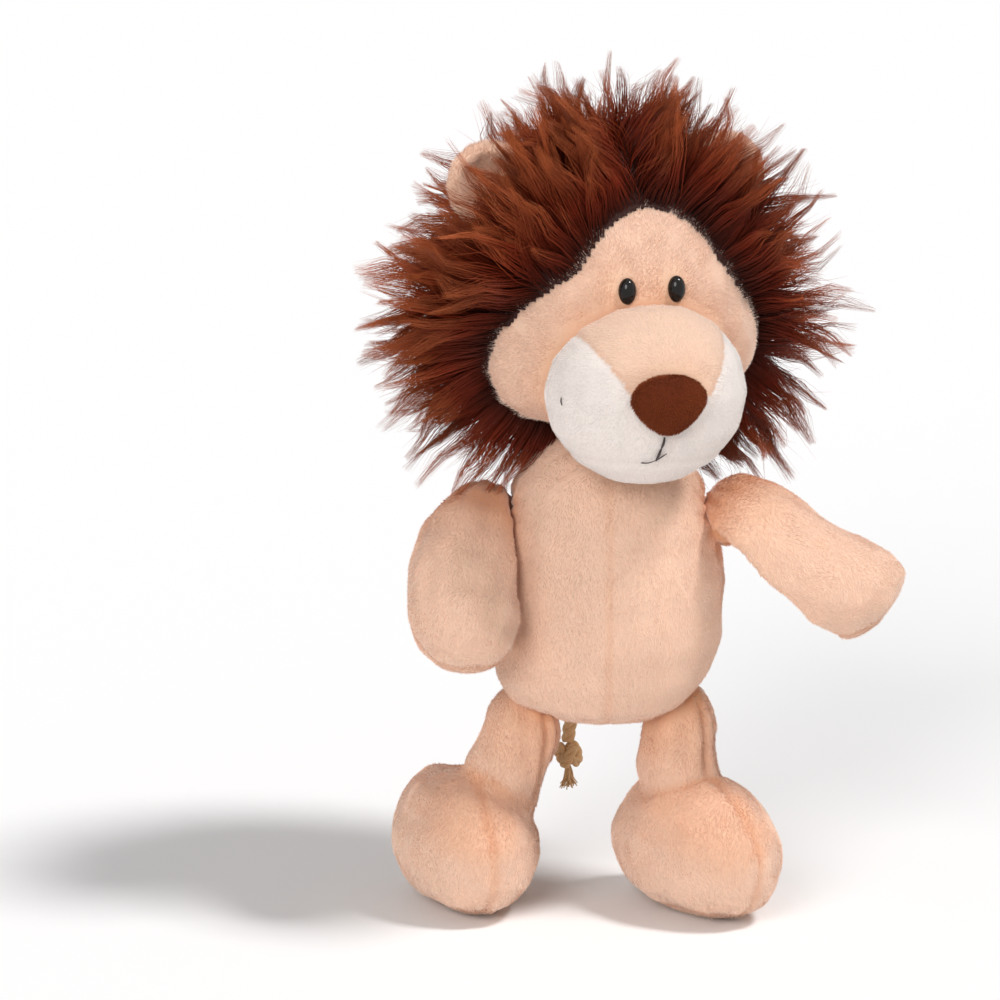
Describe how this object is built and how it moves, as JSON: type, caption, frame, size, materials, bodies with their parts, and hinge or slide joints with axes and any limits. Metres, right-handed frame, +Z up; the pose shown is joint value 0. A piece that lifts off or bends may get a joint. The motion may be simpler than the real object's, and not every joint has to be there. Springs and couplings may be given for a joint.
{
  "type": "plush lion",
  "caption": "Sewn plush lion with a shaggy brown mane, long white and peach muzzle, tied arms and legs that swing, and a rope tail.",
  "frame": {"origin": "on the floor, under the middle of the toy's box with the tail left out", "axes": "+Z up from the soles to the mane; the toy faces -Y and its own right side is at -X"},
  "size_m": [0.1582, 0.1194, 0.25],
  "materials": {
    "peach_plush": "matte",
    "blush_plush": "matte",
    "white_plush": "matte",
    "mane_fur": "satin",
    "backing_cloth": "matte",
    "nose_velour": "matte",
    "eye_black": "gloss",
    "washer_white": "matte",
    "wadding": "matte",
    "pellet_linen": "matte",
    "seam_thread": "matte",
    "tail_cord": "matte"
  },
  "bodies": {
    "torso": {"torso_panel_left": "peach_plush", "torso_panel_right": "peach_plush", "torso_filling": "wadding", "torso_pellet_bag": "pellet_linen"},
    "neck_seam": {"neck_stitching": "seam_thread"},
    "head": {"face_panel": "peach_plush", "head_back_panel": "backing_cloth", "head_filling": "wadding", "eye_right": "eye_black", "eye_washer_right": "washer_white", "eye_left": "eye_black", "eye_washer_left": "washer_white", "muzzle_bridge": "peach_plush", "muzzle_chin": "white_plush", "muzzle_cheek_left": "white_plush", "muzzle_cheek_right": "white_plush", "muzzle_filling": "wadding", "nose": "nose_velour", "ear_front_right": "peach_plush", "ear_back_right": "peach_plush", "ear_front_left": "peach_plush", "ear_back_left": "peach_plush", "mane_crown_left": "mane_fur", "mane_side_left": "mane_fur", "mane_nape_left": "mane_fur", "mane_crown_right": "mane_fur", "mane_side_right": "mane_fur", "mane_nape_right": "mane_fur"},
    "shoulder_seam_right": {"shoulder_right_stitching": "seam_thread"},
    "arm_right": {"arm_front_right": "peach_plush", "arm_back_right": "peach_plush", "arm_filling_right": "wadding"},
    "shoulder_seam_left": {"shoulder_left_stitching": "seam_thread"},
    "arm_left": {"arm_front_left": "peach_plush", "arm_back_left": "peach_plush", "arm_filling_left": "wadding"},
    "hip_seam_right": {"hip_right_stitching": "seam_thread"},
    "leg_right": {"leg_outer_right": "peach_plush", "leg_inner_right": "peach_plush", "leg_filling_right": "wadding", "foot_outer_right": "blush_plush", "foot_inner_right": "blush_plush", "foot_sole_right": "peach_plush", "foot_filling_right": "wadding"},
    "hip_seam_left": {"hip_left_stitching": "seam_thread"},
    "leg_left": {"leg_outer_left": "peach_plush", "leg_inner_left": "peach_plush", "leg_filling_left": "wadding", "foot_outer_left": "blush_plush", "foot_inner_left": "blush_plush", "foot_sole_left": "peach_plush", "foot_filling_left": "wadding"},
    "tail": {"tail_rope": "tail_cord", "tail_knot": "tail_cord", "tail_tassel": "tail_cord"}
  },
  "joints": [
    {"name": "neck_turn", "type": "hinge", "parent": "torso", "child": "neck_seam", "pos_m": [-0.00884, 0.00206, 0.15], "axis": [0, 0, 1], "range_deg": [-60, 25]},
    {"name": "neck_nod", "type": "hinge", "parent": "neck_seam", "child": "head", "pos_m": [-0.00884, 0.00206, 0.15], "axis": [0.9511, 0.309, 0], "range_deg": [-10, 5]},
    {"name": "shoulder_swing_right", "type": "hinge", "parent": "torso", "child": "shoulder_seam_right", "pos_m": [-0.04484, 0.00206, 0.122], "axis": [-1, 0, 0], "range_deg": [-13, 42]},
    {"name": "shoulder_lift_right", "type": "hinge", "parent": "shoulder_seam_right", "child": "arm_right", "pos_m": [-0.04484, 0.00206, 0.122], "axis": [0, 0.7547, -0.6561], "range_deg": [0, 63]},
    {"name": "shoulder_swing_left", "type": "hinge", "parent": "torso", "child": "shoulder_seam_left", "pos_m": [0.02716, 0.00206, 0.122], "axis": [-1, 0, 0], "range_deg": [0, 55]},
    {"name": "shoulder_lift_left", "type": "hinge", "parent": "shoulder_seam_left", "child": "arm_left", "pos_m": [0.02716, 0.00206, 0.122], "axis": [0, -0.8829, 0.4695], "range_deg": [-55, 8]},
    {"name": "hip_turn_right", "type": "hinge", "parent": "torso", "child": "hip_seam_right", "pos_m": [-0.03234, 0.00206, 0.054], "axis": [0, 0, 1], "range_deg": [-15, 15]},
    {"name": "hip_swing_right", "type": "hinge", "parent": "hip_seam_right", "child": "leg_right", "pos_m": [-0.03234, 0.00206, 0.054], "axis": [-1, 0, 0], "range_deg": [-25, 60]},
    {"name": "hip_turn_left", "type": "hinge", "parent": "torso", "child": "hip_seam_left", "pos_m": [0.01466, 0.00206, 0.054], "axis": [0, 0, 1], "range_deg": [-15, 15]},
    {"name": "hip_swing_left", "type": "hinge", "parent": "hip_seam_left", "child": "leg_left", "pos_m": [0.01466, 0.00206, 0.054], "axis": [-1, 0, 0], "range_deg": [-25, 60]},
    {"name": "tail_swing", "type": "hinge", "parent": "torso", "child": "tail", "pos_m": [-0.01334, 0.02813, 0.07], "axis": [0, 0.8832, -0.4691], "range_deg": [-60, 60]}
  ]
}
